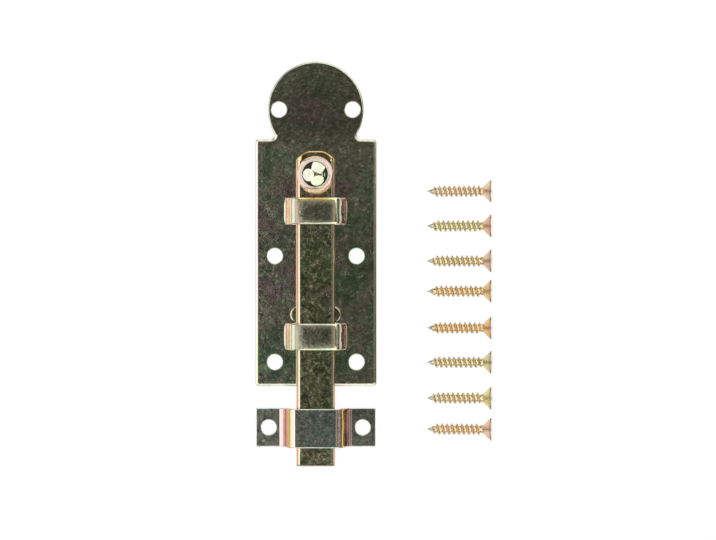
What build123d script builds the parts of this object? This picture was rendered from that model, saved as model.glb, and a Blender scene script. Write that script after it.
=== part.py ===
from build123d import *
from math import asin, atan, atan2, cos, degrees, radians, sin, sqrt, tan
import os

# A surface-mounted slide bolt: a pressed steel backplate with two guides, a flat bolt with a riveted
# ball knob, the keeper that the bolt shoots into, and the eight countersunk screws that fix them.
# Sizes are in millimetres. x runs across the plate, y away from the throw, z off the door.
# The origin is the middle of the four lower screw holes, on the plate's back face.

# Backplate: one sheet steel blank, a rectangle with a round lobe above it
plate_gauge = 1.5
plate_width = 37.5
plate_corner = 1.2
plate_edge_round = 0.3
hole_diameter = 4.7
hole_pitch_x = 25.2
hole_pitch_y = 32.7
throw_edge_margin = 7.45
shoulder_above_guide = 18.15
lobe_above_shoulder = 9.1
lobe_radius = 14.8
lobe_hole_from_rim = 3.45
lobe_neck_round = 1.2

# Bolt: a flat bar with rolled top edges, its end rounded about the knob
bolt_travel = 25.0
tip_setback = 0.6
bolt_width = 12.0
bolt_thickness = 5.0
bolt_edge_round = 1.2
bolt_lower_round = 0.3
bolt_end_overlap = 1.6
bolt_end_corner = 0.5
tip_bevel = 0.4
bolt_running_gap = 0.1

# Stops: two half-round ears squeezed out of the bolt's edges by a punch
ear_length = 5.05
ear_reach = 1.85
ear_thickness = 2.4
ear_step_inset = 1.3
ear_edge_round = 0.4
stop_gap = 0.2

# Guides: straps lanced from the plate and pressed up over the bolt
guide_width = 8.2
hole_to_window_web = 1.2
guide_side_gap = 0.5
guide_top_gap = 0.4
lance_gap = 0.2
strap_lean = 12.0
strap_bend_radius = 0.8
strap_root_radius = 1.0
strap_edge_round = 0.25
strap_overlap = 1.0

# Keeper: a bent strap with two screwed feet
keeper_gauge = 1.5
keeper_width = 12.0
keeper_from_edge = 12.7
keeper_side_gap = 1.15
keeper_top_gap = 0.9
keeper_corner = 0.4
keeper_hole_diameter = 4.6
keeper_hole_to_bend = 1.43
keeper_end_margin = 3.95

# Ball knob: turned from bar, its tail riveted over into a countersink under the bolt
knob_above_guide = 2.7
ball_diameter = 11.0
knob_neck_diameter = 5.8
knob_neck_length = 0.93
collar_diameter = 8.4
collar_height = 0.8
spigot_diameter = 5.0
rivet_spread = 1.0
rivet_fit = 0.02

# Screws: countersunk wood screws, 3.5 x 20, with a cross recess
screw_length = 20.0
screw_diameter = 3.5
screw_core_diameter = 2.2
screw_shank_diameter = 2.5
screw_shank_length = 0.9
screw_pitch = 1.52
screw_head_diameter = 7.0
screw_rim = 0.4
screw_point_length = 3.2
screw_point_blunt = 0.12
screw_bare_point = 1.7
thread_base = 0.76
thread_crest = 0.12
thread_bury = 0.12
recess_span = 3.9
recess_slot = 0.95
recess_depth = 1.9
recess_taper = 0.45

# The screws lie in a column beside the plate, points towards it, at these heights above the throw edge.
screw_rows = [60.1, 49.4, 38.6, 29.3, 18.0, 7.4, -3.6, -13.2]
screw_column_gap = 15.55
screw_roll_step = 75.0

# Where things come along the plate
plate_foot_y = -hole_pitch_y / 2 - throw_edge_margin
low_guide_y = -hole_pitch_y / 2 + hole_diameter / 2 + hole_to_window_web + lance_gap + guide_width / 2
high_guide_y = low_guide_y + guide_width + ear_length + bolt_travel + 2 * stop_gap
shoulder_y = high_guide_y + guide_width / 2 + shoulder_above_guide
lobe_y = shoulder_y + lobe_above_shoulder
ear_y = low_guide_y + guide_width / 2 + stop_gap + ear_length / 2
tip_y = plate_foot_y + tip_setback - bolt_travel
knob_y = high_guide_y + guide_width / 2 + knob_above_guide + collar_diameter / 2
keeper_y = plate_foot_y - keeper_from_edge
bolt_floor_z = plate_gauge + bolt_running_gap
bolt_top_z = bolt_floor_z + bolt_thickness

stand = (Align.CENTER, Align.CENTER, Align.MIN)
os.makedirs("parts", exist_ok=True)


def save(piece, name):
    """Labels a finished piece and writes it."""
    piece.label = name
    export_step(piece, f"parts/{name}.step")


def strap_root_x(inner_half_width, inner_height, gauge):
    """Where the middle line of a strap's leg meets the middle of its foot."""
    lean = radians(strap_lean)
    return inner_half_width + (inner_height - gauge / 2) * tan(lean) + gauge / 2 / cos(lean)


def strap_foot_x(inner_half_width, inner_height, gauge):
    """Where the bend at a strap's root ends and its flat foot begins."""
    reach = (strap_root_radius + gauge / 2) * tan(radians(90 - strap_lean) / 2)
    return strap_root_x(inner_half_width, inner_height, gauge) + reach


def front_rim(sheet):
    """The edges around a sheet's front, which is every face that looks away from the door."""
    edges = [e for f in sheet.faces() if f.normal_at().Z > 0.01 for e in f.edges()]
    return [e for e in edges if sum(e.is_same(other) for other in edges) == 1]


def strap(inner_half_width, inner_height, gauge, half_span, width, middle_y):
    """A strip that lies flat at its ends and stands up in the middle, its front edges still sharp."""
    root_x = strap_root_x(inner_half_width, inner_height, gauge)
    top_z = inner_height + gauge / 2
    top_x = root_x - inner_height * tan(radians(strap_lean))
    corners = [(-half_span, gauge / 2), (-root_x, gauge / 2), (-top_x, top_z)]
    corners += [(-x, z) for x, z in reversed(corners)]
    root = strap_root_radius + gauge / 2
    bend = strap_bend_radius + gauge / 2
    with BuildPart() as strip:
        with BuildSketch(Plane.XZ.offset(-middle_y)):
            with BuildLine() as middle_line:
                FilletPolyline(*corners, radius=[root, bend, bend, root])
            trace(middle_line.line, gauge)
        extrude(amount=width / 2, both=True)
    return strip


# Backplate
guide_inner_half_width = bolt_width / 2 + guide_side_gap
guide_inner_height = bolt_top_z + guide_top_gap
window_half_length = strap_foot_x(guide_inner_half_width, guide_inner_height, plate_gauge)
lobe_neck_x = sqrt(lobe_radius**2 - lobe_above_shoulder**2)

guides = []
for guide_y in (low_guide_y, high_guide_y):
    guide = strap(
        guide_inner_half_width,
        guide_inner_height,
        plate_gauge,
        window_half_length + strap_overlap,
        guide_width,
        guide_y,
    )
    with guide:
        fillet(front_rim(guide), strap_edge_round)
    guides.append(guide.part)

with BuildPart() as backplate:
    with BuildSketch() as blank:
        with Locations((0, (plate_foot_y + shoulder_y) / 2)):
            Rectangle(plate_width, shoulder_y - plate_foot_y)
        fillet(blank.vertices(), plate_corner)
        with Locations((0, lobe_y)):
            Circle(lobe_radius)
        on_shoulder = [v for v in blank.vertices() if abs(v.Y - shoulder_y) < 0.01]
        fillet([v for v in on_shoulder if abs(abs(v.X) - lobe_neck_x) < 0.01], lobe_neck_round)
    extrude(amount=plate_gauge)
    fillet(backplate.faces().sort_by(Axis.Z)[-1].outer_wire().edges(), plate_edge_round)
    with Locations((0, 0, plate_gauge)):
        with GridLocations(hole_pitch_x, hole_pitch_y, 2, 2):
            Hole(hole_diameter / 2)
    with Locations((0, lobe_y, plate_gauge)):
        with GridLocations(2 * (lobe_radius - lobe_hole_from_rim), 0, 2, 1):
            Hole(hole_diameter / 2)
    with Locations((0, low_guide_y), (0, high_guide_y)):
        Box(2 * window_half_length, guide_width + 2 * lance_gap, 3 * plate_gauge, mode=Mode.SUBTRACT)
    add(guides)
save(backplate.part, "backplate")

# Bolt bar
bolt_end_radius = bolt_width / 2 + bolt_end_overlap
bolt_shoulder_y = knob_y + sqrt(bolt_end_radius**2 - (bolt_width / 2) ** 2)
ear_radius = ((ear_length / 2) ** 2 + ear_reach**2) / (2 * ear_reach)
ear_centre_x = bolt_width / 2 + ear_reach - ear_radius
ear_step_x = bolt_width / 2 - ear_step_inset
spigot_radius = spigot_diameter / 2
tail_radius = spigot_radius + rivet_spread


def ear_discs(height):
    """The two round discs that the ears are parts of, from the bolt's underside up, cut off at the steps."""
    with BuildPart() as discs:
        with Locations((ear_centre_x, ear_y, bolt_floor_z), (-ear_centre_x, ear_y, bolt_floor_z)):
            Cylinder(ear_radius, height, align=stand)
        with Locations((0, ear_y, bolt_floor_z)):
            Box(2 * ear_step_x, 3 * ear_radius, height, align=stand, mode=Mode.SUBTRACT)
    return discs


ears = ear_discs(ear_thickness)
with ears:
    ear_tops = ears.faces().filter_by(Axis.Z).group_by(Axis.Z)[-1].edges()
    fillet(ear_tops.filter_by(GeomType.CIRCLE), ear_edge_round)
ear_notches = ear_discs(2 * bolt_thickness).part.moved(Location((0, 0, ear_thickness)))

with BuildPart() as bolt_bar:
    with BuildSketch(Plane.XY.offset(bolt_floor_z)):
        with BuildLine():
            sides = Polyline(
                (-bolt_width / 2, bolt_shoulder_y),
                (-bolt_width / 2, tip_y),
                (bolt_width / 2, tip_y),
                (bolt_width / 2, bolt_shoulder_y),
            )
            ThreePointArc(sides @ 1, (0, knob_y + bolt_end_radius), sides @ 0)
        make_face()
    extrude(amount=bolt_thickness)
    fillet(bolt_bar.edges().filter_by(Axis.Z).group_by(Axis.Y)[-1], bolt_end_corner)
    fillet(bolt_bar.faces().sort_by(Axis.Z)[-1].edges().sort_by(Axis.Y)[1:], bolt_edge_round)
    chamfer(bolt_bar.faces().sort_by(Axis.Y)[0].edges().filter_by(Axis.X), tip_bevel)
    fillet(bolt_bar.faces().sort_by(Axis.Z)[0].edges().filter_by(Axis.Y), bolt_lower_round)
    add(ear_notches, mode=Mode.SUBTRACT)
    add(ears.part)
    with Locations(Plane(origin=(0, knob_y, bolt_floor_z), z_dir=(0, 0, -1))):
        CounterSinkHole(spigot_radius + rivet_fit, tail_radius + rivet_fit, counter_sink_angle=90)
save(bolt_bar.part, "bolt_bar")

# Ball knob
neck_radius = knob_neck_diameter / 2
collar_radius = collar_diameter / 2
collar_top_z = bolt_top_z + collar_height
neck_flare = collar_radius - neck_radius
neck_foot_z = collar_top_z + neck_flare
ball_radius = ball_diameter / 2
ball_z = neck_foot_z + knob_neck_length + sqrt(ball_radius**2 - neck_radius**2)
ball_start = -degrees(asin(sqrt(ball_radius**2 - neck_radius**2) / ball_radius))

with BuildPart() as ball_knob:
    with BuildSketch(Plane.XZ.offset(-knob_y)):
        with BuildLine():
            ball = CenterArc((0, ball_z), ball_radius, ball_start, 90 - ball_start)
            Line(ball @ 0, (neck_radius, neck_foot_z))
            CenterArc((collar_radius, neck_foot_z), neck_flare, 180, 90)
            Polyline(
                (collar_radius, collar_top_z),
                (collar_radius, bolt_top_z),
                (spigot_radius, bolt_top_z),
                (spigot_radius, bolt_floor_z + rivet_spread),
                (tail_radius, bolt_floor_z),
                (0, bolt_floor_z),
                ball @ 1,
            )
        make_face()
    revolve(axis=Axis((0, knob_y, 0), (0, 0, 1)))
save(ball_knob.part, "ball_knob")

# Keeper
keeper_inner_half_width = bolt_width / 2 + keeper_side_gap
keeper_inner_height = bolt_top_z + keeper_top_gap
keeper_foot_x = strap_foot_x(keeper_inner_half_width, keeper_inner_height, keeper_gauge)
keeper_hole_x = keeper_foot_x + keeper_hole_to_bend + keeper_hole_diameter / 2

keeper = strap(
    keeper_inner_half_width,
    keeper_inner_height,
    keeper_gauge,
    keeper_hole_x + keeper_end_margin,
    keeper_width,
    keeper_y,
)
with keeper:
    fillet(keeper.edges().filter_by(Axis.Z), keeper_corner)
    fillet(front_rim(keeper), strap_edge_round)
    with Locations((keeper_hole_x, keeper_y), (-keeper_hole_x, keeper_y)):
        Cylinder(keeper_hole_diameter / 2, 3 * keeper_gauge, mode=Mode.SUBTRACT)
save(keeper.part, "keeper")

# Screws: one is made upright on its point, then copied to where each lies
core_radius = screw_core_diameter / 2
crest_radius = screw_diameter / 2
head_radius = screw_head_diameter / 2
shank_radius = screw_shank_diameter / 2
cone_foot_z = screw_length - screw_rim - (head_radius - shank_radius)
thread_end_z = cone_foot_z - screw_shank_length
thread_root_radius = core_radius - thread_bury
point_slope = (core_radius - screw_point_blunt) / screw_point_length


def thread_ridge(path):
    """A thread's ridge along a helix that runs a little under the core's surface."""
    height = crest_radius - thread_root_radius
    with BuildSketch(Plane(origin=path @ 0, x_dir=(1, 0, 0), z_dir=path % 0)) as section:
        with BuildLine():
            Polyline(
                (0, -thread_base / 2),
                (height, -thread_crest / 2),
                (height, thread_crest / 2),
                (0, thread_base / 2),
                close=True,
            )
        make_face()
    return Solid.sweep(section.sketch.faces()[0], path=Wire(path.edges()), is_frenet=True)


# The thread starts on the point, where it widens with the cone, and goes on up the shank in the same spiral.
point_path = Helix(
    screw_pitch,
    screw_point_length - screw_bare_point,
    screw_point_blunt + point_slope * screw_bare_point - thread_bury,
    center=(0, 0, screw_bare_point),
    cone_angle=degrees(atan(point_slope)),
)
shank_path = Helix(
    screw_pitch,
    thread_end_z - screw_point_length,
    thread_root_radius,
    center=(0, 0, screw_point_length),
)
point_end = point_path @ 1
shank_turn = degrees(atan2(point_end.Y, point_end.X))
threads = [thread_ridge(point_path), thread_ridge(shank_path).rotate(Axis.Z, shank_turn)]

with BuildPart() as screw:
    with BuildSketch(Plane.XZ):
        with BuildLine():
            Polyline(
                (0, 0),
                (screw_point_blunt, 0),
                (core_radius, screw_point_length),
                (core_radius, thread_end_z),
                (shank_radius, cone_foot_z - screw_shank_length / 2),
                (shank_radius, cone_foot_z),
                (head_radius, screw_length - screw_rim),
                (head_radius, screw_length),
                (0, screw_length),
                close=True,
            )
        make_face()
    revolve(axis=Axis.Z)
    add(threads)
    for height, scale in ((screw_length, 1), (screw_length - recess_depth, recess_taper)):
        with BuildSketch(Plane.XY.offset(height)):
            Rectangle(recess_span * scale, recess_slot * scale)
            Rectangle(recess_slot * scale, recess_span * scale)
    loft(mode=Mode.SUBTRACT, ruled=True)

# A screw rests on its head's rim and on its thread where the point begins.
lie_angle = degrees(atan((head_radius - crest_radius) / (screw_length - screw_rim - screw_point_length)))
point_rise = crest_radius * cos(radians(lie_angle)) - screw_point_length * sin(radians(lie_angle))
point_x = plate_width / 2 + screw_column_gap

for number, row in enumerate(screw_rows, start=1):
    roll = Location((0, 0, 0), (0, 0, number * screw_roll_step))
    lay_down = Location((point_x, plate_foot_y + row, point_rise), (0, 90 - lie_angle, 0))
    save(screw.part.moved(lay_down * roll), f"screw_{number}")

print("bolt sticks out", round(plate_foot_y - tip_y, 2), "and travels", bolt_travel)
print("holes at y", -hole_pitch_y / 2, hole_pitch_y / 2, round(lobe_y, 3))
print("keeper holes at x", round(keeper_hole_x, 3), "y", round(keeper_y, 3))
print("knob at y", round(knob_y, 3), "ball centre z", round(ball_z, 3), "screw lies at", round(lie_angle, 2))
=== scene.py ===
from math import acos, atan, atan2, cos, degrees, pi, radians, sin, sqrt, tan

import bmesh
import bpy
from bmesh.types import BMEdge, BMFace, BMVert
from mathutils import Matrix, Vector


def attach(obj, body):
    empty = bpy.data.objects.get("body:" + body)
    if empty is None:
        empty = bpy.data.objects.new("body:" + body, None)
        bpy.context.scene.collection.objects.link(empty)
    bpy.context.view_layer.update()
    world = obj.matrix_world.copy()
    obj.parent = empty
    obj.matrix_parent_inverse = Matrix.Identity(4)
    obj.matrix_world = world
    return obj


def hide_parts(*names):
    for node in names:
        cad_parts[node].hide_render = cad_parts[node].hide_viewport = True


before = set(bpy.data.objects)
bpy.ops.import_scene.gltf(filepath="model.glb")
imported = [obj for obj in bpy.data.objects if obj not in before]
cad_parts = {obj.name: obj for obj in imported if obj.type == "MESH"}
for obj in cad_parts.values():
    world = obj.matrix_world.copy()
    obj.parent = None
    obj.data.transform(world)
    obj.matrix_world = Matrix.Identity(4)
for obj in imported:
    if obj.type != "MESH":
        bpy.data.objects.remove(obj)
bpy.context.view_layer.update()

# Studio: the bolt and its screws lie on a white table and are seen from straight above. Three large soft
# boxes stand round the table, and two strip lights to its right. The flat faces show the dark camera over
# them, the grey ceiling round it, and the dark room between the lamps.
picture_middle = (0.01304, 0.01203)
camera_height = 0.9
camera = bpy.data.objects.new("camera", bpy.data.cameras.new("camera"))
camera.location = (*picture_middle, camera_height)
camera.data.lens = 146.5
camera.data.sensor_width = 36
bpy.context.scene.collection.objects.link(camera)
bpy.context.scene.camera = camera
bpy.context.scene.view_settings.view_transform = "Standard"

# Each lamp's shape, its azimuth and its angle from straight up in degrees, its width and its height.
lamps = (
    ("ELLIPSE", 186, 45, 1.36, 1.42),
    ("RECTANGLE", 67, 50, 1.28, 1.20),
    ("ELLIPSE", -69, 47, 1.50, 1.20),
    ("RECTANGLE", 0, 46, 0.30, 0.08),
    ("RECTANGLE", 0, 64, 0.30, 0.06),
)
lamp_distance = 0.9
lamp_brightness = 1.3
up = (0, 0, 1)
for shape, azimuth, from_vertical, width, height in lamps:
    lamp = bpy.data.lights.new("soft_box", "AREA")
    lamp.shape = shape
    lamp.size = width
    lamp.size_y = height
    lamp.energy = lamp_brightness * pi * width * height * (pi / 4 if shape == "ELLIPSE" else 1)
    stand = bpy.data.objects.new("soft_box", lamp)
    outward = Vector((cos(radians(azimuth)), sin(radians(azimuth)), 0))
    towards = outward * sin(radians(from_vertical)) + Vector(up) * cos(radians(from_vertical))
    level = Vector(up).cross(outward)
    facing = Matrix((level, towards.cross(level), towards)).transposed().to_4x4()
    stand.matrix_world = Matrix.Translation(towards * lamp_distance) @ facing
    stand.visible_camera = False
    bpy.context.scene.collection.objects.link(stand)


class Value:
    """What a node gives out. Python's own operators on it add Math nodes."""

    def __init__(self, finish, socket):
        self.finish = finish
        self.socket = socket

    def __add__(self, other):
        return self.finish.maths("ADD", self, other)

    def __radd__(self, other):
        return self.finish.maths("ADD", other, self)

    def __sub__(self, other):
        return self.finish.maths("SUBTRACT", self, other)

    def __rsub__(self, other):
        return self.finish.maths("SUBTRACT", other, self)

    def __mul__(self, other):
        return self.finish.maths("MULTIPLY", self, other)

    def __rmul__(self, other):
        return self.finish.maths("MULTIPLY", other, self)

    def __abs__(self):
        return self.finish.maths("ABSOLUTE", self, 0.0)


class Finish:
    """A material, or the room round the table, put together from nodes."""

    def __init__(self, owner):
        self.owner = owner
        owner.use_nodes = True
        self.tree = owner.node_tree
        self.tree.nodes.clear()

    def node(self, kind, settings=None, inputs=None, output=0):
        """Adds a node: its settings first, then the values, colours or links of its sockets."""
        made = self.tree.nodes.new(kind)
        for key, setting in (settings or {}).items():
            setattr(made, key, setting)
        for key, value in (inputs or {}).items():
            socket = made.inputs[key]
            if isinstance(value, Value):
                self.tree.links.new(value.socket, socket)
            elif socket.type == "RGBA":
                socket.default_value = (*value, 1)
            else:
                socket.default_value = value
        return Value(self, made.outputs[output]) if made.outputs else None

    def maths(self, operation, first, second):
        return self.node("ShaderNodeMath", {"operation": operation}, {0: first, 1: second})

    def vectors(self, operation, first, second, output="Vector"):
        return self.node("ShaderNodeVectorMath", {"operation": operation}, {0: first, 1: second}, output)

    def scaled(self, place, amount):
        return self.node("ShaderNodeVectorMath", {"operation": "SCALE"}, {0: place, "Scale": amount})

    def distance(self, place, centre):
        return self.vectors("DISTANCE", place, centre, "Value")

    def part(self, place, letter):
        """One of a place's three numbers."""
        return self.node("ShaderNodeSeparateXYZ", None, {0: place}, letter)

    def blend(self, share, first, second, how="MIX"):
        """Mixes two colours by a share from 0 to 1."""
        return self.node("ShaderNodeMix", {"data_type": "RGBA", "blend_type": how},
                         {0: share, 6: first, 7: second}, output=2)

    def band(self, value, low, high):
        """Rises smoothly from 0 to 1 as the value goes from low to high."""
        return self.node("ShaderNodeMapRange", {"interpolation_type": "SMOOTHSTEP"},
                         {"Value": value, "From Min": low, "From Max": high})

    def noise(self, place, scale, detail, rough=0.55, distortion=0.0, output="Fac"):
        """Cloudy noise, with about as many clouds to the millimetre as its scale says."""
        return self.node("ShaderNodeTexNoise", None,
                         {"Vector": place, "Scale": scale, "Detail": detail, "Roughness": rough,
                          "Distortion": distortion}, output)

    def surface(self, shader):
        self.node("ShaderNodeOutputMaterial", None, {"Surface": shader})
        return self.owner


def dark_room():
    """A dark room whose grey ceiling is lit in a ring round the camera, out to about 20 degrees."""
    room = Finish(bpy.data.worlds.new("dark_room"))
    direction = room.node("ShaderNodeTexCoord", None, None, "Generated")
    upward = room.part(direction, "Z")
    ceiling = room.band(upward, cos(radians(24)), cos(radians(18)))
    behind_camera = room.band(upward, cos(radians(8)), cos(radians(3)))
    colour = room.blend(ceiling - behind_camera, (0.048, 0.048, 0.038), (0.34, 0.32, 0.27))
    light = room.node("ShaderNodeBackground", None, {"Color": colour, "Strength": 1.0})
    room.node("ShaderNodeOutputWorld", None, {"Surface": light})
    return room.owner


bpy.context.scene.world = dark_room()


def white_table():
    """White in the picture and in the metal's reflections, and it still takes the pieces' shadows."""
    finish = Finish(bpy.data.materials.new("white_table"))
    card = finish.node("ShaderNodeBsdfDiffuse", None, {"Color": (0.2, 0.2, 0.2)})
    glow = finish.node("ShaderNodeEmission", None, {"Color": (0.99, 0.99, 1), "Strength": 0.88})
    dark = finish.node("ShaderNodeEmission", None, {"Strength": 0.0})
    seen = finish.node("ShaderNodeLightPath", None, None, "Is Camera Ray")
    reflected = finish.node("ShaderNodeLightPath", None, None, "Is Glossy Ray")
    through = finish.node("ShaderNodeLightPath", None, None, "Is Transmission Ray")
    shows = finish.maths("MINIMUM", seen + reflected + through, 1.0)
    background = finish.node("ShaderNodeMixShader", None, {0: shows, 1: dark, 2: glow})
    both = finish.node("ShaderNodeAddShader", None, {0: card, 1: background})
    return finish.surface(both)


table_half_size = 3
table_drop = 0.0001
table_shape = bmesh.new()
bmesh.ops.create_grid(table_shape, x_segments=1, y_segments=1, size=table_half_size)
bmesh.ops.translate(table_shape, vec=(0, 0, -table_drop), verts=table_shape.verts)
table_mesh = bpy.data.meshes.new("table")
table_shape.to_mesh(table_mesh)
table_shape.free()
table_mesh.materials.append(white_table())
table = bpy.data.objects.new("table", table_mesh)
bpy.context.scene.collection.objects.link(table)

# Backplate: one pressing of 1.5 mm sheet steel with a round lobe at its upper end. The shear has drawn
# its front edges down, the screw holes are punched from the front, and two windows are open where the
# guides were lanced out. Zinc plated, with a yellow chromate finish. All sizes are in millimetres.
gauge = 1.5
half_width = 18.75
foot_y = -23.8
shoulder_y = 52.4
lobe_y = 61.5
lobe_radius = 14.8
corner = 1.2
neck = 1.2
draw_width = 0.9
draw_depth = 0.35
lobe_draw = 0.5
hole_radius = 2.35
hole_draw = 0.2
holes = ((12.6, 16.35), (12.6, -16.35), (11.35, lobe_y))
low_guide_y = -8.5
high_guide_y = 30.15
guide_width = 8.2
slit = 0.02
window_half_length = 10.4

tolerance = 0.002
weld = 0.0005
millimetre = 0.001
lengthwise = (0, 1, 0)


def near(a, b):
    return abs(a - b) < tolerance


def only(kind, geometry):
    """Picks the vertices, edges or faces out of what an operator gives back."""
    return [each for each in geometry if isinstance(each, kind)]


def start(bm, x, y, z):
    """The first point of a drawn line."""
    return bmesh.ops.create_vert(bm, co=(x, y, z))["vert"][0]


def run_to(bm, point, x, y, z):
    """Draws a straight line on from a point."""
    end = bmesh.ops.extrude_vert_indiv(bm, verts=[point])["verts"][0]
    end.co = (x, y, z)
    return end


def turn(bm, point, centre, axis, angle, steps):
    """Draws an arc on from a point; the angle is in degrees."""
    swept = bmesh.ops.spin(bm, geom=[point], cent=centre, axis=axis, dvec=(0, 0, 0), angle=radians(angle),
                           steps=steps, use_merge=False, use_normal_flip=False, use_duplicate=False)
    return only(BMVert, swept["geom_last"])[0]


def lathe(bm, x, y, steps):
    """Turns a drawn line all the way round an upright axis."""
    bmesh.ops.spin(bm, geom=bm.verts[:] + bm.edges[:], cent=(x, y, 0), axis=up, dvec=(0, 0, 0), angle=2 * pi,
                   steps=steps, use_merge=True, use_normal_flip=False, use_duplicate=False)


def mirror_across(bm):
    """Adds the other half of a symmetric drawing, across the middle plane."""
    bmesh.ops.mirror(bm, geom=bm.verts[:] + bm.edges[:] + bm.faces[:], matrix=Matrix.Identity(4),
                     merge_dist=weld, axis="X")
    bmesh.ops.remove_doubles(bm, verts=bm.verts, dist=weld)


def raise_faces(bm, faces, height):
    """Extrudes faces upwards and gives back the faces on top."""
    grown = bmesh.ops.extrude_face_region(bm, geom=faces)["geom"]
    bmesh.ops.translate(bm, vec=(0, 0, height), verts=only(BMVert, grown))
    return only(BMFace, grown)


def soften(bm, edges, width, steps):
    """Rounds edges."""
    bmesh.ops.bevel(bm, geom=edges, offset=width, offset_type="OFFSET", segments=steps, profile=0.5,
                    affect="EDGES", material=-1, clamp_overlap=False)


def push_out(vert, away, distance):
    """Moves a vertex along a direction in plan."""
    vert.co.x += away.x / away.length * distance
    vert.co.y += away.y / away.length * distance


def add_shape(bm, other):
    """Puts one drawing into another."""
    mesh = bpy.data.meshes.new("part")
    other.to_mesh(mesh)
    other.free()
    bm.from_mesh(mesh)
    bpy.data.meshes.remove(mesh)


def punch_hole(bm, x, y, radius):
    """The wall of a round hole through the sheet, its upper rim drawn in a little by the punch."""
    wall = bmesh.new()
    pen = start(wall, x + radius, y, 0)
    pen = run_to(wall, pen, x + radius, y, gauge - hole_draw)
    turn(wall, pen, (x + radius + hole_draw, y, gauge - hole_draw), lengthwise, 90, 4)
    lathe(wall, x, y, 56)
    add_shape(bm, wall)


def open_flats(bm, least_area):
    """Takes out the large flat faces, so that they can be closed again round their holes."""
    flats = [f for f in bm.faces if f.calc_area() > least_area and abs(f.normal.z) > 0.99]
    bmesh.ops.delete(bm, geom=flats, context="FACES_ONLY")


def edges_at(bm, height):
    return [e for e in bm.edges if all(near(v.co.z, height) for v in e.verts)]


def close_flat(bm, height, side=0):
    """Fills a level between its outline and its holes, on both sides of the middle or on one (1 or -1)."""
    rim = [e for e in edges_at(bm, height) if len(e.link_faces) == 1 and e.verts[0].co.x * side >= 0]
    bmesh.ops.triangle_fill(bm, use_beauty=True, use_dissolve=False, edges=rim)


def finish_piece(bm, name, body, node, finish, crease=38):
    """Turns a drawing in millimetres into a finished piece that stands for its CAD node."""
    bmesh.ops.remove_doubles(bm, verts=bm.verts, dist=weld)
    bmesh.ops.recalc_face_normals(bm, faces=bm.faces)
    for face in bm.faces:
        face.smooth = True
    for edge in bm.edges:
        if edge.is_manifold:
            flat_beside_round = len({abs(f.normal.z) > 0.99999 for f in edge.link_faces}) == 2
            edge.smooth = edge.calc_face_angle() < radians(crease) and not flat_beside_round
    bmesh.ops.scale(bm, vec=(millimetre, millimetre, millimetre), verts=bm.verts)
    mesh = bpy.data.meshes.new(name)
    bm.to_mesh(mesh)
    bm.free()
    mesh.materials.append(finish)
    piece = bpy.data.objects.new(name, mesh)
    bpy.context.scene.collection.objects.link(piece)
    shading = piece.modifiers.new("shading", "WEIGHTED_NORMAL")
    shading.keep_sharp = True
    shading.weight = 80
    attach(piece, body)
    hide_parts(node)


plate = bmesh.new()
neck_y = shoulder_y + neck
neck_x = sqrt((lobe_radius + neck) ** 2 - (lobe_y - neck_y) ** 2)
neck_turn = degrees(atan2(lobe_y - neck_y, neck_x))
pen = start(plate, 0, foot_y, 0)
pen = run_to(plate, pen, half_width - corner, foot_y, 0)
pen = turn(plate, pen, (half_width - corner, foot_y + corner, 0), up, 90, 8)
pen = run_to(plate, pen, half_width, shoulder_y - corner, 0)
pen = turn(plate, pen, (half_width - corner, shoulder_y - corner, 0), up, 90, 8)
pen = run_to(plate, pen, neck_x, shoulder_y, 0)
pen = turn(plate, pen, (neck_x, neck_y, 0), up, -90 - neck_turn, 8)
pen = turn(plate, pen, (0, lobe_y, 0), up, 90 + neck_turn, 44)
mirror_across(plate)
blank = bmesh.ops.edgeloop_fill(plate, edges=plate.edges[:])["faces"]
front = raise_faces(plate, blank, gauge)[0]
soften(plate, list(front.edges), draw_width, 6)
for vert in plate.verts:
    if vert.co.z > gauge - draw_width - tolerance:
        vert.co.z = gauge - (gauge - vert.co.z) * draw_depth / draw_width
        from_lobe = Vector((vert.co.x, vert.co.y - lobe_y))
        if vert.co.y > neck_y and from_lobe.length > lobe_radius - draw_width - tolerance:
            push_out(vert, from_lobe, (lobe_radius - from_lobe.length) * (1 - lobe_draw))
open_flats(plate, least_area=200)
for hole_x, hole_y in holes:
    punch_hole(plate, hole_x, hole_y, hole_radius)
    punch_hole(plate, -hole_x, hole_y, hole_radius)
for guide_y in (low_guide_y, high_guide_y):
    half_window = guide_width / 2 + slit
    window = bmesh.new()
    pen = start(window, 0, guide_y - half_window, 0)
    pen = run_to(window, pen, window_half_length, guide_y - half_window, 0)
    pen = run_to(window, pen, window_half_length, guide_y + half_window, 0)
    run_to(window, pen, 0, guide_y + half_window, 0)
    mirror_across(window)
    wall = bmesh.ops.extrude_edge_only(window, edges=window.edges[:])["geom"]
    bmesh.ops.translate(window, vec=(0, 0, gauge), verts=only(BMVert, wall))
    add_shape(plate, window)
close_flat(plate, 0)
close_flat(plate, gauge)


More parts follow.
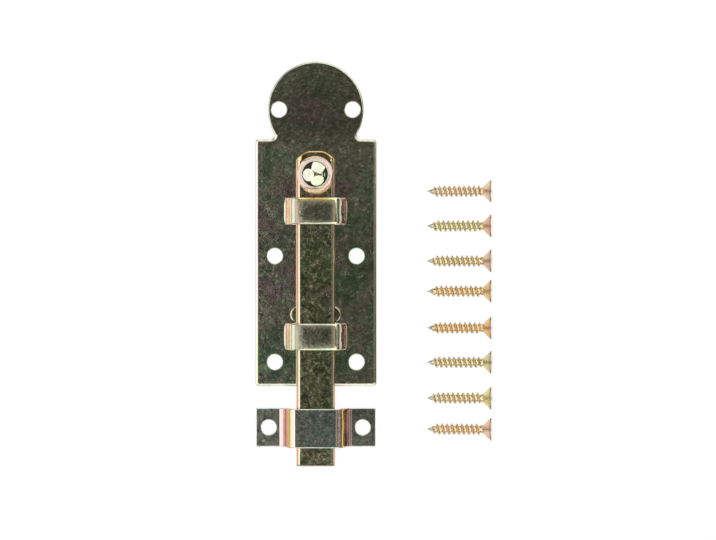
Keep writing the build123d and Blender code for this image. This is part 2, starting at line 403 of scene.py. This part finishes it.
def zinc(name, body, green, brown, edge, roughness, stains_and_painted_light=None, tints_and_painted_light=None, gloss=None, contrast=1.0,
         depth=0.00006):
    """Zinc with a yellow chromate finish: mottled, with green and purple-brown patches and scratches.

    Stains, with painted light among them, colour the zinc under its mottle, and tints with painted light,
    shade and reflections lie over it. Gloss is taken off the roughness.
    The contrast is that of the mottle, and the depth, in metres, that of the waves and the grain.
    """
    finish = Finish(bpy.data.materials.new(name))
    metres = finish.node("ShaderNodeTexCoord", None, None, "Object")
    place = finish.scaled(metres, 1000.0)
    patches = finish.noise(place, scale=0.09, detail=4.0, rough=0.6, distortion=0.6)
    tone = finish.noise(place, scale=0.23, detail=5.0, rough=0.65, distortion=0.4)
    colour = finish.blend(finish.band(patches, 0.50, 0.66), body, green)
    colour = finish.blend(finish.band(tone, 0.50, 0.66) * 0.7, colour, brown)
    if stains_and_painted_light:
        colour = stains_and_painted_light(finish, place, colour)

    crystals = finish.noise(place, scale=1.1, detail=5.0, rough=0.7, distortion=0.3)
    clouds = finish.noise(place, scale=0.45, detail=3.0, rough=0.6, distortion=0.8)
    mottle = ((crystals - 0.5) * 2.2 + (clouds - 0.5) * 1.6) * contrast
    light = finish.maths("MAXIMUM", mottle * 0.35 + 1.0, 0.6)
    grey = finish.node("ShaderNodeCombineColor", None, {0: light, 1: light, 2: light})
    colour = finish.blend(1.0, colour, grey, "MULTIPLY")

    swirl = finish.noise(place, scale=0.35, detail=1.0, rough=0.5, output="Color")
    bent = finish.vectors("ADD", place, finish.scaled(swirl, 2.2))
    from_line = finish.node("ShaderNodeTexVoronoi", {"feature": "DISTANCE_TO_EDGE"},
                            {"Vector": bent, "Scale": 0.42}, "Distance")
    rubbed = finish.band(finish.noise(place, scale=0.6, detail=2.0), 0.58, 0.64)
    scratches = finish.band(from_line, 0.035, 0.0) * rubbed
    colour = finish.blend(scratches * 0.3, colour, (0.8, 0.78, 0.68))
    if tints_and_painted_light:
        colour = tints_and_painted_light(finish, place, colour)

    grain = finish.noise(place, scale=0.9, detail=3.5, rough=0.65)
    waves = finish.noise(place, scale=0.4, detail=1.0)
    relief = waves * 0.3 + grain * 0.45 + scratches * 0.03
    bump = finish.node("ShaderNodeBump", None, {"Height": relief, "Strength": 1.0, "Distance": depth})
    dulled = mottle * 0.06 + scratches * 0.1 + roughness
    if gloss:
        dulled = dulled - gloss(finish, place)
    shader = finish.node("ShaderNodeBsdfPrincipled", None, {
        "Base Color": colour,
        "Metallic": 1.0,
        "Roughness": finish.maths("MAXIMUM", dulled, 0.02),
        "Specular Tint": edge,
        "Normal": bump,
    })
    return finish.surface(shader)


pool_green = (0.30, 0.54, 0.28)
pool_teal = (0.36, 0.52, 0.38)
pool_purple = (0.70, 0.48, 0.54)
# Each pool's middle, how far it reaches, and its colour.
pools = (
    (10.5, 28, 6, pool_green),
    (8.5, 8, 7, pool_green),
    (13, 17, 5, pool_green),
    (9, -15, 5.5, pool_green),
    (-9.5, -15, 6, pool_green),
    (-13, -14, 9, pool_teal),
    (-12, 19, 6, pool_teal),
    (-13, 6, 6, pool_purple),
    (-8, 12, 4, pool_purple),
    (-17.5, 26, 7, pool_purple),
    (9, 37, 4, pool_purple),
    (-1, 61, 7, pool_purple),
    (-14, 47, 4, pool_green),
    (1, 71, 5, pool_green),
    (-9, 36, 4, pool_purple),
    (1, -8.5, 5, pool_green),
)


def on_lobe(finish, place):
    """From 0 on the plate to 1 on its lobe."""
    return finish.band(finish.part(place, "Y"), 48, 58)


def plate_stains_and_painted_reflection(finish, place, colour):
    """Green, teal and purple pools where the chromate bath has dried, a reddish painted reflection of the
    bolt's lower edge beside it, and the lobe darker.
    """
    across = finish.part(place, "X")
    along = finish.part(place, "Y")
    wander = finish.noise(place, scale=0.22, detail=3.0, rough=0.6)
    for x, y, reach, tint in pools:
        away = finish.distance(place, (x, y, gauge)) + (wander - 0.5) * 22
        colour = finish.blend(finish.band(away, reach * 1.25, 0.0) * 0.72, colour, tint)
    # Painted reflection: a reddish line on the plate beside the bolt, where it would mirror the bolt's lower
    # edge.
    bolt_reflection = finish.band(across, -7.3, -6.7) * finish.band(across, -4.0, -5.0)
    bolt_reflection = bolt_reflection * finish.band(along, 44.0, 40.0) * finish.band(along, -4.0, 2.0)
    colour = finish.blend(bolt_reflection * 0.8, colour, (0.88, 0.56, 0.56))
    # The lobe is made darker.
    return finish.blend(on_lobe(finish, place) * 0.3, colour, (0.44, 0.42, 0.34))


def plate_painted_light(finish, place, colour):
    """Painted light, shade, sheen and reflections on the guides' bends and on the drawn edges."""
    across = finish.part(place, "X")
    along = finish.part(place, "Y")
    off_middle = abs(across)
    right = finish.band(across, -1.0, 1.0)
    on_guide = finish.band(finish.part(place, "Z"), gauge + 0.005, gauge + 0.1)
    # Painted reflection of the knob: a golden line along the top of the high guide, by its far edge.
    guide_edge = high_guide_y + guide_width / 2
    knob_reflection = finish.band(along, guide_edge - 1.25, guide_edge - 0.95)
    knob_reflection = knob_reflection * finish.band(along, guide_edge - 0.25, guide_edge - 0.35)
    colour = finish.blend(on_guide * knob_reflection, colour, (0.92, 0.78, 0.32))
    # Painted shade on the left of each guide's top, by its bends, and painted light on the right.
    shoulder_light_and_shade = finish.blend(right, (0.30, 0.28, 0.20), (0.90, 0.82, 0.56))
    colour = finish.blend(on_guide * finish.band(off_middle, 4.4, 5.6) * 0.85, colour, shoulder_light_and_shade)
    # Painted sheen: a mint band on each guide's upper bends.
    colour = finish.blend(on_guide * finish.band(off_middle, 6.2, 6.5), colour, (0.62, 0.64, 0.48))
    # Painted reflection of the plate on the guides' legs: peach on the left, pink on the right.
    leg_reflection = finish.blend(right, (0.98, 0.76, 0.64), (0.84, 0.62, 0.62))
    colour = finish.blend(on_guide * finish.band(off_middle, 7.5, 7.8), colour, leg_reflection)
    # Painted light: the outer part of each guide's right leg paler.
    colour = finish.blend(on_guide * finish.band(across, 8.2, 8.5), colour, (1.0, 0.82, 0.72))
    # Painted highlight on the plate's left drawn edge, mint low down and pink higher up, and painted shade on
    # its right drawn edge.
    left_rim_highlight = finish.blend(finish.band(along, -12.0, 0.0), (0.66, 0.72, 0.50), (0.74, 0.64, 0.62))
    rim = finish.blend(right, left_rim_highlight, (0.46, 0.46, 0.34))
    return finish.blend(finish.band(off_middle, half_width - 0.95, half_width - 0.75), colour, rim)


def lobe_gloss(finish, place):
    """The lobe has kept more of the sheet's mill finish."""
    return on_lobe(finish, place) * 0.03


plate_zinc = zinc("plate_zinc", body=(0.64, 0.66, 0.52), green=(0.56, 0.70, 0.52), brown=(0.72, 0.60, 0.54),
                  edge=(1, 0.76, 0.68), roughness=0.12, stains_and_painted_light=plate_stains_and_painted_reflection, tints_and_painted_light=plate_painted_light,
                  gloss=lobe_gloss, depth=0.00004)
finish_piece(plate, "backplate_sheet", "plate", "backplate", plate_zinc)

# Guides: two straps lanced out of the backplate's own sheet and pressed up over the bolt, so they are
# joined to it at their roots and have its finish. The press has rounded their front edges, bowed their
# tops a little and drawn their legs in.
guide_inner_half = 6.5
guide_inner_height = 7.0
guide_bend = 2.3
guide_root = 0.7
guide_lean = 12
guide_rounding = 0.4
rounding_end = 9.1
top_bow = 0.16
side_bow = 0.14
bow_fade = 0.1
leg_foot = 9.03
legs_drawn_in = 0.75


def strap(inner_half_width, inner_height, half_span, width, middle_y, bend_radius, root_radius, lean,
          slices=1):
    """A strip of the sheet, bent with a flat top, two leaning legs and flat feet.

    Gives it with the edges down both sides of its upper face. The lean is in degrees, and the slices are
    how many lengths it has from front to back.
    """
    bend = 90 - lean
    tilt = radians(lean)
    outer_half_width = inner_half_width + gauge / cos(tilt)
    top_x = outer_half_width - gauge * tan(tilt) - bend_radius * tan(radians(bend / 2))
    top_z = inner_height + gauge
    root_reach = root_radius * tan(radians(bend / 2))
    root_x = outer_half_width + (inner_height - gauge) * tan(tilt)
    side_y = middle_y - width / 2
    bm = bmesh.new()
    pen = start(bm, 0, side_y, top_z)
    for share in (0.25, 0.5, 0.65, 0.8, 0.9, 1):  # closer together towards the bend
        pen = run_to(bm, pen, top_x * share, side_y, top_z)
    pen = turn(bm, pen, (top_x, side_y, top_z - bend_radius), lengthwise, bend, 12)
    pen = run_to(bm, pen, root_x - root_reach * sin(tilt), side_y, gauge + root_reach * cos(tilt))
    pen = turn(bm, pen, (root_x + root_reach, side_y, gauge + root_radius), lengthwise, -bend, 8)
    run_to(bm, pen, half_span, side_y, gauge)
    mirror_across(bm)
    line = bm.edges[:]
    for number in range(slices):
        grown = bmesh.ops.extrude_edge_only(bm, edges=line)["geom"]
        bmesh.ops.translate(bm, vec=(0, width / slices, 0), verts=only(BMVert, grown))
        behind = side_y + width / slices * (number + 0.5)
        line = [e for e in only(BMEdge, grown) if all(v.co.y > behind for v in e.verts)]
    bmesh.ops.recalc_face_normals(bm, faces=bm.faces)
    if sum(f.normal.z for f in bm.faces) < 0:
        bmesh.ops.reverse_faces(bm, faces=bm.faces)
    upper_verts = set(bm.verts)
    bmesh.ops.solidify(bm, geom=bm.faces[:], thickness=gauge)
    rim = [e for e in bm.edges if all(v in upper_verts for v in e.verts)
           and all(near(abs(v.co.y - middle_y), width / 2) for v in e.verts)
           and near(e.verts[0].co.y, e.verts[1].co.y)]
    return bm, rim


for name, guide_y in (("guide_low", low_guide_y), ("guide_high", high_guide_y)):
    guide, rim = strap(guide_inner_half, guide_inner_height, window_half_length, guide_width, guide_y,
                       guide_bend, guide_root, guide_lean, slices=12)
    above_root = [e for e in rim if all(abs(v.co.x) < rounding_end for v in e.verts)]
    soften(guide, above_root, guide_rounding, 5)
    for vert in guide.verts:
        to_side = (abs(vert.co.y - guide_y) / (guide_width / 2)) ** 4
        above = vert.co.z - (guide_inner_height - bow_fade)
        if above > 0:
            fall = top_bow * (vert.co.x / guide_inner_half) ** 4 + side_bow * to_side
            vert.co.z -= fall * min(1, above / bow_fade)
        if leg_foot < abs(vert.co.x) < window_half_length - tolerance and vert.co.z > tolerance:
            inward = (abs(vert.co.x) - leg_foot) * legs_drawn_in * to_side
            vert.co.x -= inward if vert.co.x > 0 else -inward
    finish_piece(guide, name, "plate", "backplate", plate_zinc)

# Bolt bar: drawn flat steel bar with rolled top edges, rounded at its upper end round the knob and
# square at its tip. A punch has squeezed two half-round ears out of its edges, which stop it at the
# guides. Zinc plated, with a yellow chromate finish that is browner than the plate's.
bar_low = 1.6
bar_high = 6.6
bar_half = 6.0
tip_y = -48.2
knob_y = 41.15
end_radius = 7.6
end_y = knob_y + sqrt(end_radius**2 - bar_half**2)
ear_y = -1.675
ear_radius = 2.65
ear_x = 5.20
ear_high = 4.0
ear_angle = degrees(acos((bar_half - ear_x) / ear_radius))
ear_half = ear_radius * sin(radians(ear_angle))
roll_width = 1.25
roll_reach = 1.65
roll_depth = 2.3
end_roll = 0.25
end_roll_start = 4.6
end_roll_fade = 0.6
ear_rounding = 0.4
foot_rounding = 0.3
tip_rounding = 0.35
spigot_radius = 2.5
rivet_radius = 3.5
rivet_depth = 1
rivet_room = 0.02

bar = bmesh.new()
pen = start(bar, 0, tip_y, bar_low)
pen = run_to(bar, pen, bar_half, tip_y, bar_low)
ear_foot = run_to(bar, pen, bar_half, ear_y - ear_half, bar_low)
ear_head = turn(bar, ear_foot, (ear_x, ear_y, bar_low), up, 2 * ear_angle, 18)
bmesh.ops.contextual_create(bar, geom=[ear_foot, ear_head])
pen = run_to(bar, ear_head, bar_half, end_y, bar_low)
turn(bar, pen, (0, knob_y, bar_low), up, degrees(acos(bar_half / end_radius)), 14)
mirror_across(bar)


def on_ear(edge):
    return any(abs(v.co.x) > bar_half + tolerance for v in edge.verts)


def on_chord(edge):
    """The line where an ear joins the bar."""
    return all(near(abs(v.co.x), bar_half) and near(abs(v.co.y - ear_y), ear_half) for v in edge.verts)


def on_tip(edge):
    return all(near(v.co.y, tip_y) for v in edge.verts)


def from_0_to_1(value):
    return min(1, max(0, value))


ear_edges = [e for e in bar.edges if on_ear(e)]
chords = [e for e in bar.edges if on_chord(e)]
outline = [e for e in bar.edges if e not in ear_edges]
for side in (1, -1):
    around_ear = [e for e in ear_edges + chords if e.verts[0].co.x * side > 0]
    bmesh.ops.contextual_create(bar, geom=around_ear)
bmesh.ops.contextual_create(bar, geom=outline)
tops = raise_faces(bar, bar.faces[:], ear_high - bar_low)
underside = [f for f in bar.faces if all(near(v.co.z, bar_low) for v in f.verts)]
bmesh.ops.delete(bar, geom=underside, context="FACES")
bmesh.ops.edgeloop_fill(bar, edges=edges_at(bar, bar_low))
bar_top = max(tops, key=lambda face: face.calc_area())
raise_faces(bar, [bar_top], bar_high - ear_high)
bmesh.ops.delete(bar, geom=[bar_top], context="FACES_ONLY")
bmesh.ops.recalc_face_normals(bar, faces=bar.faces)
soften(bar, [e for e in edges_at(bar, bar_high) if not on_tip(e)], roll_width, 9)
for vert in bar.verts:
    if bar_high - roll_width - tolerance < vert.co.z < bar_high:
        vert.co.z = bar_high - (bar_high - vert.co.z) * roll_depth / roll_width
    from_knob = Vector((vert.co.x, vert.co.y - knob_y))
    at_edge = from_knob.length > end_radius - roll_reach
    if vert.co.z > ear_high + tolerance and from_knob.y > 0 and at_edge:
        round_end = from_0_to_1((from_knob.y - end_roll_start) / end_roll_fade)
        narrowed = 1 - (1 - end_roll) * round_end
        if vert.co.z < bar_high:
            vert.co.z = bar_high - (bar_high - vert.co.z) * narrowed
        push_out(vert, from_knob, (end_radius - from_knob.length) * (1 - narrowed))
soften(bar, [e for e in edges_at(bar, ear_high) if on_ear(e)], ear_rounding, 4)
soften(bar, [e for e in edges_at(bar, bar_low) if not on_tip(e)], foot_rounding, 3)
soften(bar, [e for e in bar.edges if on_tip(e)], tip_rounding, 3)
open_flats(bar, least_area=200)
rivet_hole = bmesh.new()
pen = start(rivet_hole, spigot_radius + rivet_room, knob_y, bar_high)
pen = run_to(rivet_hole, pen, spigot_radius + rivet_room, knob_y, bar_low + rivet_depth)
run_to(rivet_hole, pen, rivet_radius + rivet_room, knob_y, bar_low)
lathe(rivet_hole, 0, knob_y, 48)
add_shape(bar, rivet_hole)
close_flat(bar, bar_low)
close_flat(bar, bar_high)


def bar_painted_light(finish, place, colour):
    """Painted reflections and shade on the bar: golden round the knob, cream and pink bands on the rolled
    edges with a thin brown line along each roll, the right roll darker, the tip dark, and an orange line
    round the rounded end.
    """
    across = finish.part(place, "X")
    along = finish.part(place, "Y")
    off_middle = abs(across)
    roll_foot = bar_half - roll_width
    on_ear_face = finish.band(abs(finish.part(place, "Z") - ear_high), 0.06, 0.02)
    rolled = finish.band(off_middle, roll_foot - 0.05, roll_foot + 0.15) * (1.0 - on_ear_face)
    in_plan = finish.vectors("MULTIPLY", place, (1, 1, 0))
    away_from_knob = finish.distance(in_plan, (0, knob_y, 0))
    # Painted reflection of the knob's underside: a golden-olive tint on the bar round it.
    colour = finish.blend(finish.band(away_from_knob, 8.8, 7.2), colour, (0.62, 0.55, 0.34))
    # Painted highlight: cream on the rolled edges, and a painted pink reflection on their outer part.
    colour = finish.blend(rolled * 0.95, colour, (0.80, 0.71, 0.54))
    colour = finish.blend(rolled * finish.band(off_middle, 5.5, 5.6) * 0.9, colour, (0.84, 0.64, 0.50))
    # A thin brown line along each roll.
    roll_brown_line = finish.band(off_middle, 5.30, 5.38) * finish.band(off_middle, 5.60, 5.52)
    colour = finish.blend(rolled * roll_brown_line * 0.85, colour, (0.34, 0.25, 0.16))
    # Painted shade on the right side of the bar.
    colour = finish.blend(finish.band(across, 4.6, 4.8) * 0.7, colour, (0.42, 0.36, 0.28))
    # Painted shade on the square tip's rounded end.
    colour = finish.blend(finish.band(along, tip_y + 0.55, tip_y + 0.4), colour, (0.30, 0.28, 0.20))
    # Painted reflection: an orange line round the bar's rounded end by the knob.
    round_end = finish.band(away_from_knob, 7.05, 7.2) * finish.band(along, knob_y + 3.6, knob_y + 4.4)
    return finish.blend(round_end, colour, (0.86, 0.58, 0.20))


bolt_zinc = zinc("bolt_zinc", body=(0.60, 0.61, 0.40), green=(0.46, 0.60, 0.30), brown=(0.70, 0.60, 0.48),
                 edge=(1, 0.76, 0.68), roughness=0.12, tints_and_painted_light=bar_painted_light, contrast=1.9, depth=0.00001)
finish_piece(bar, "bolt_bar_drawn", "bolt", "bolt_bar", bolt_zinc)

# Ball knob: turned from round steel in one piece with its neck, its collar and a spigot. The spigot goes
# through the bolt, and its tail is riveted over in a countersink underneath. Plated, and mirror bright.
ball_radius = 5.5
ball_z = 14.303
neck_radius = 2.9
collar_radius = 4.2
collar_high = bar_high + 0.8
collar_edge = 0.12
flare = collar_radius - neck_radius
flare_turn = 78
ball_turn = degrees(acos(neck_radius / ball_radius))
# The collar's foot, the spigot, and the riveted tail with its dished face: radii and heights.
tail = (
    (collar_radius, bar_high),
    (spigot_radius, bar_high),
    (spigot_radius, bar_low + rivet_depth),
    (rivet_radius, bar_low),
    (2.9, bar_low + 0.02),
    (1.6, bar_low + 0.12),
    (0, bar_low + 0.16),
)

knob = bmesh.new()
pen = start(knob, 0, knob_y, ball_z + ball_radius)
pen = turn(knob, pen, (0, knob_y, ball_z), lengthwise, 90 + ball_turn, 44)
pen = run_to(knob, pen, neck_radius, knob_y, collar_high + flare)
pen = turn(knob, pen, (collar_radius, knob_y, collar_high + flare), lengthwise, -flare_turn, 8)
pen = run_to(knob, pen, collar_radius - collar_edge, knob_y, collar_high)
pen = turn(knob, pen, (collar_radius - collar_edge, knob_y, collar_high - collar_edge), lengthwise, 90, 3)
for radius, height in tail:
    pen = run_to(knob, pen, radius, knob_y, height)
lathe(knob, 0, knob_y, 96)


def knob_tint_and_reflections(finish, place, colour):
    """Pale green over one side of the ball, and painted reflections lower down: rings of grey-beige, pink and
    pale pink, where the ball would mirror the lit plate.
    """
    sideways = finish.vectors("DOT_PRODUCT", place, (0.7, -0.7, 0), "Value")
    crown = -0.7 * knob_y
    colour = finish.blend(finish.band(sideways, crown - 1, crown + 3) * 0.8, colour, (0.66, 0.76, 0.46))
    height = finish.part(place, "Z")
    # Painted reflections in rings round the ball, between its crown and its middle.
    for above, below, tint in ((4.1, 3.7, (0.66, 0.58, 0.51)),
                               (3.3, 2.7, (0.90, 0.68, 0.61)),
                               (2.5, 1.8, (1.0, 0.78, 0.72))):
        colour = finish.blend(finish.band(height, ball_z + above, ball_z + below), colour, tint)
    return colour


knob_zinc = zinc("knob_zinc", body=(0.72, 0.69, 0.57), green=(0.70, 0.72, 0.56), brown=(0.74, 0.67, 0.58),
                 edge=(1, 0.86, 0.80), roughness=0.045, tints_and_painted_light=knob_tint_and_reflections, depth=0.00002)
finish_piece(knob, "ball_knob_turned", "bolt", "ball_knob", knob_zinc)

# Keeper: the loose strap that the bolt shoots into, bent from 12 mm strip of the plate's gauge, with a
# punched screw hole in each foot. Zinc plated, with a greener chromate finish.
keeper_y = -36.5
keeper_width = 12.0
keeper_inner_half = 7.15
keeper_inner_height = 7.5
keeper_half_span = 18.449
keeper_bend = 2.6
keeper_root = 1.8
keeper_lean = 9
keeper_end_rounding = 0.4
keeper_rim_rounding = 0.28
sharp = 70
keeper_hole_x = 14.499
keeper_hole_radius = 2.3


def at_corner(edge):
    """An upright edge at a corner of the keeper's feet."""
    first, second = edge.verts
    return all(near(abs(v.co.x), keeper_half_span) for v in edge.verts) and near(first.co.y, second.co.y)


def on_upper_rim(edge):
    """A sharp edge down a side of the keeper, or at its ends, that can be seen from above."""
    if len(edge.link_faces) != 2 or edge.calc_face_angle() < radians(sharp):
        return False
    if sum(f.normal.z for f in edge.link_faces) <= 0.1:
        return False
    down_side = all(near(abs(v.co.y - keeper_y), keeper_width / 2) for v in edge.verts)
    return down_side or abs(edge.verts[0].co.x) > keeper_half_span - keeper_end_rounding - 0.1


keeper = strap(keeper_inner_half, keeper_inner_height, keeper_half_span, keeper_width, keeper_y,
               keeper_bend, keeper_root, keeper_lean)[0]
soften(keeper, [e for e in keeper.edges if at_corner(e)], keeper_end_rounding, 3)
soften(keeper, [e for e in keeper.edges if on_upper_rim(e)], keeper_rim_rounding, 4)
open_flats(keeper, least_area=40)
for side in (1, -1):
    punch_hole(keeper, side * keeper_hole_x, keeper_y, keeper_hole_radius)
for side in (1, -1):
    close_flat(keeper, 0, side)
    close_flat(keeper, gauge, side)


def bend_sheen(finish, place, colour):
    """Painted sheen where the strap is bent: pink, with gold between on its legs."""
    off_middle = abs(finish.part(place, "X"))
    bent = finish.band(off_middle, 5.9, 6.2) * finish.band(off_middle, 11.5, 11.0)
    # Painted sheen on the bends and legs.
    tint = finish.blend(finish.band(off_middle, 7.4, 7.7), (0.77, 0.65, 0.60), (0.60, 0.46, 0.18))
    tint = finish.blend(finish.band(off_middle, 9.0, 9.3), tint, (0.80, 0.58, 0.56))
    return finish.blend(bent, colour, tint)


keeper_zinc = zinc("keeper_zinc", body=(0.62, 0.68, 0.58), green=(0.54, 0.70, 0.66),
                   brown=(0.70, 0.62, 0.62), edge=(1, 0.78, 0.74), roughness=0.12, tints_and_painted_light=bend_sheen,
                   depth=0.00003)
finish_piece(keeper, "keeper_strap", "keeper", "keeper", keeper_zinc)

# Screws: eight loose countersunk wood screws, 3.5 x 20, with a rolled thread and a cross recess. They lie
# in a column beside the plate with their points towards it, each rolled to its own angle. Zinc plated,
# with a golden chromate finish that has taken differently on each.
screw_length = 20.0
pitch = 1.52
core_radius = 1.1
crest_radius = 1.75
shank_radius = 1.25
head_radius = 3.5
head_rim = 0.4
head_foot = screw_length - head_rim
cone_foot = head_foot - (head_radius - shank_radius)
thread_end = cone_foot - 0.9
thread_fade = 0.8
thread_gone = thread_end + 0.5
shank_taper = 0.45
tip_radius = 0.06
point_length = 2.4
first_crest = 1.2
first_full_crest = 3.2
recess_arm = 1.95
recess_half_slot = 0.475
recess_depth = 1.9
recess_taper = 0.45
head_overlap = 0.02
# One pitch of the thread: shares of the pitch, and radii.
thread_profile = (
    (0.16, core_radius),
    (0.21, core_radius + 0.03),
    (0.36, crest_radius - 0.12),
    (0.41, crest_radius),
    (0.59, crest_radius),
    (0.64, crest_radius - 0.12),
    (0.79, core_radius + 0.03),
    (0.84, core_radius),
    (1.0, core_radius),
)
# The head's cone and rim: radii and heights.
rim_rounding = 0.1
head_profile = (
    (shank_radius, cone_foot),
    (head_radius - 0.2, head_foot - 0.2),
    (head_radius - 0.04, head_foot - 0.04),
    (head_radius, head_foot + 0.02),
    (head_radius, screw_length - rim_rounding),
)
thread_turns = 14
steps_a_turn = 40
# The dye and the painted shade read each place's zone: 0 on the thread's core, 1 on its crests, and these on
# the head.
rim_zone = 1.6
face_zone = -1.0
rim_margin = 0.12


def shaft_radius(from_tip):
    """The core's radius at a distance from the tip."""
    if from_tip < point_length:
        return tip_radius + (core_radius - tip_radius) * max(from_tip, 0) / point_length
    if from_tip < thread_end:
        return core_radius
    widened = (from_tip - thread_end) * (shank_radius - core_radius) / shank_taper
    return min(shank_radius, core_radius + widened)


def thread_share(from_tip):
    """How full the thread is at a distance from the tip, from 0 to 1."""
    rise = from_0_to_1((from_tip - first_crest) / (first_full_crest - first_crest))
    run_out = from_0_to_1((thread_gone - from_tip) / thread_fade)
    return min(rise, run_out)


shaft = bmesh.new()
first_turn = -2 * pitch
pen = start(shaft, core_radius, 0, first_turn)
for share, radius in thread_profile:
    pen = run_to(shaft, pen, radius, 0, first_turn + pitch * share)
bmesh.ops.spin(shaft, geom=shaft.verts[:] + shaft.edges[:], cent=(0, 0, 0), axis=up,
               dvec=(0, 0, pitch / steps_a_turn), angle=2 * pi * thread_turns,
               steps=steps_a_turn * thread_turns, use_merge=False, use_normal_flip=False,
               use_duplicate=False)
bmesh.ops.remove_doubles(shaft, verts=shaft.verts, dist=tolerance)
painted_shade_zone = shaft.verts.layers.float.new("painted_shade_zone")
for vert in shaft.verts:
    drawn_radius = sqrt(vert.co.x**2 + vert.co.y**2)
    vert[painted_shade_zone] = (drawn_radius - core_radius) / (crest_radius - core_radius)
    true_radius = shaft_radius(vert.co.z) + (drawn_radius - core_radius) * thread_share(vert.co.z)
    vert.co.x *= true_radius / drawn_radius
    vert.co.y *= true_radius / drawn_radius
for cut_height, keep_above in ((0, True), (cone_foot + head_overlap, False)):
    cut = bmesh.ops.bisect_plane(shaft, geom=shaft.verts[:] + shaft.edges[:] + shaft.faces[:], dist=0.0001,
                                 plane_co=(0, 0, cut_height), plane_no=up, clear_inner=keep_above,
                                 clear_outer=not keep_above)
    bmesh.ops.holes_fill(shaft, edges=only(BMEdge, cut["geom_cut"]), sides=0)

head = bmesh.new()
pen = start(head, 0, 0, cone_foot)
for radius, height in head_profile:
    pen = run_to(head, pen, radius, 0, height)
turn(head, pen, (head_radius - rim_rounding, 0, screw_length - rim_rounding), lengthwise, -90, 3)
lathe(head, 0, 0, 64)

recess = bmesh.new()
pen = start(recess, recess_half_slot, recess_half_slot, screw_length)
for quarter in range(4):
    round_axis = Matrix.Rotation(radians(-90 * quarter), 3, "Z")
    for x, y in ((recess_arm, recess_half_slot), (recess_arm, -recess_half_slot),
                 (recess_half_slot, -recess_half_slot)):
        corner_place = round_axis @ Vector((x, y, 0))
        pen = run_to(recess, pen, corner_place.x, corner_place.y, screw_length)
bmesh.ops.remove_doubles(recess, verts=recess.verts, dist=weld)
sides = bmesh.ops.extrude_edge_only(recess, edges=recess.edges[:])["geom"]
floor_verts = only(BMVert, sides)
bmesh.ops.translate(recess, vec=(0, 0, -recess_depth), verts=floor_verts)
bmesh.ops.scale(recess, vec=(recess_taper, recess_taper, 1), verts=floor_verts)
floor_edges = [e for e in only(BMEdge, sides) if all(v in floor_verts for v in e.verts)]
bmesh.ops.edgeloop_fill(recess, edges=floor_edges)
add_shape(head, recess)
close_flat(head, screw_length)
add_shape(shaft, head)
painted_shade_zone = shaft.verts.layers.float["painted_shade_zone"]
for vert in shaft.verts:
    from_axis = sqrt(vert.co.x**2 + vert.co.y**2)
    if vert.co.z > head_foot - rim_margin and from_axis > head_radius - rim_margin:
        vert[painted_shade_zone] = rim_zone
    if near(vert.co.z, screw_length):
        vert[painted_shade_zone] = face_zone
bmesh.ops.recalc_face_normals(shaft, faces=shaft.faces)

point_x = 34.3
roll_apart = 75
# Each screw's place in the column, the tint of its thread and the tint of its head.
screws = (
    (36.3, (0.80, 0.62, 0.46), (0.78, 0.56, 0.40)),
    (25.6, (0.70, 0.68, 0.38), (0.80, 0.44, 0.32)),
    (14.8, (0.74, 0.66, 0.40), (0.72, 0.46, 0.38)),
    (5.5, (0.80, 0.60, 0.32), (0.80, 0.52, 0.24)),
    (-5.8, (0.82, 0.56, 0.28), (0.82, 0.48, 0.20)),
    (-16.4, (0.74, 0.66, 0.42), (0.66, 0.62, 0.32)),
    (-27.4, (0.76, 0.66, 0.42), (0.72, 0.64, 0.26)),
    (-37.0, (0.84, 0.60, 0.38), (0.80, 0.50, 0.36)),
)


def dye_and_painted_light(finish, place, colour):
    """Each screw has taken the dye in its own way, its point is duller and its face paler; painted shade
    darkens its crests, its rim and the lower edge of its face.
    """
    along = finish.part(place, "X")
    across = finish.part(place, "Y")
    at_head = finish.band(along, point_x + 16.3, point_x + 18.1)
    for screw_y, thread_tint, head_tint in screws:
        tint = finish.blend(at_head, thread_tint, head_tint)
        on_screw = finish.band(abs(across - screw_y), 4.7, 4.5)
        colour = finish.blend(on_screw * 0.75, colour, tint)
    colour = finish.blend(finish.band(along, point_x + 2.0, point_x + 1.4), colour, (0.58, 0.58, 0.46))
    shade_zone = finish.node("ShaderNodeAttribute", {"attribute_name": "painted_shade_zone"}, None, "Fac")
    # The head's face is paler, and painted contact shade darkens its lower edge.
    face = finish.blend(finish.band(along, point_x + 20.0, point_x + 20.12), (0.95, 0.92, 0.86),
                        (0.50, 0.47, 0.45))
    colour = finish.blend(finish.band(shade_zone, -0.2, -0.8), colour, face)
    # Painted shade on the head's rim.
    colour = finish.blend(finish.band(shade_zone, 1.1, 1.5), colour, (0.38, 0.32, 0.26))
    # Painted shade on the thread's crests.
    crest_shade = finish.band(shade_zone, 0.3, 0.9) * finish.band(along, point_x + 18.7, point_x + 18.1)
    return finish.blend(crest_shade, colour, (0.48, 0.42, 0.28))


screw_zinc = zinc("screw_zinc", body=(0.78, 0.62, 0.40), green=(0.66, 0.66, 0.36), brown=(0.80, 0.50, 0.38),
                  edge=(1, 0.9, 0.8), roughness=0.27, stains_and_painted_light=dye_and_painted_light, contrast=0.7)
# A screw lies on its head's rim and on the first full crest of its thread.
lie_angle = atan((head_radius - crest_radius) / (head_foot - first_full_crest))
point_rise = crest_radius * cos(lie_angle) - first_full_crest * sin(lie_angle)
for number, (screw_y, thread_tint, head_tint) in enumerate(screws, start=1):
    screw = shaft.copy()
    laid = Matrix.Translation((point_x, screw_y, point_rise)) @ Matrix.Rotation(pi / 2 - lie_angle, 4, "Y")
    rolled = Matrix.Rotation(radians(roll_apart * number), 4, "Z")
    bmesh.ops.transform(screw, matrix=laid @ rolled, verts=screw.verts)
    finish_piece(screw, f"wood_screw_{number}", f"screw_{number}", f"screw_{number}",
                 screw_zinc, crease=30)
shaft.free()
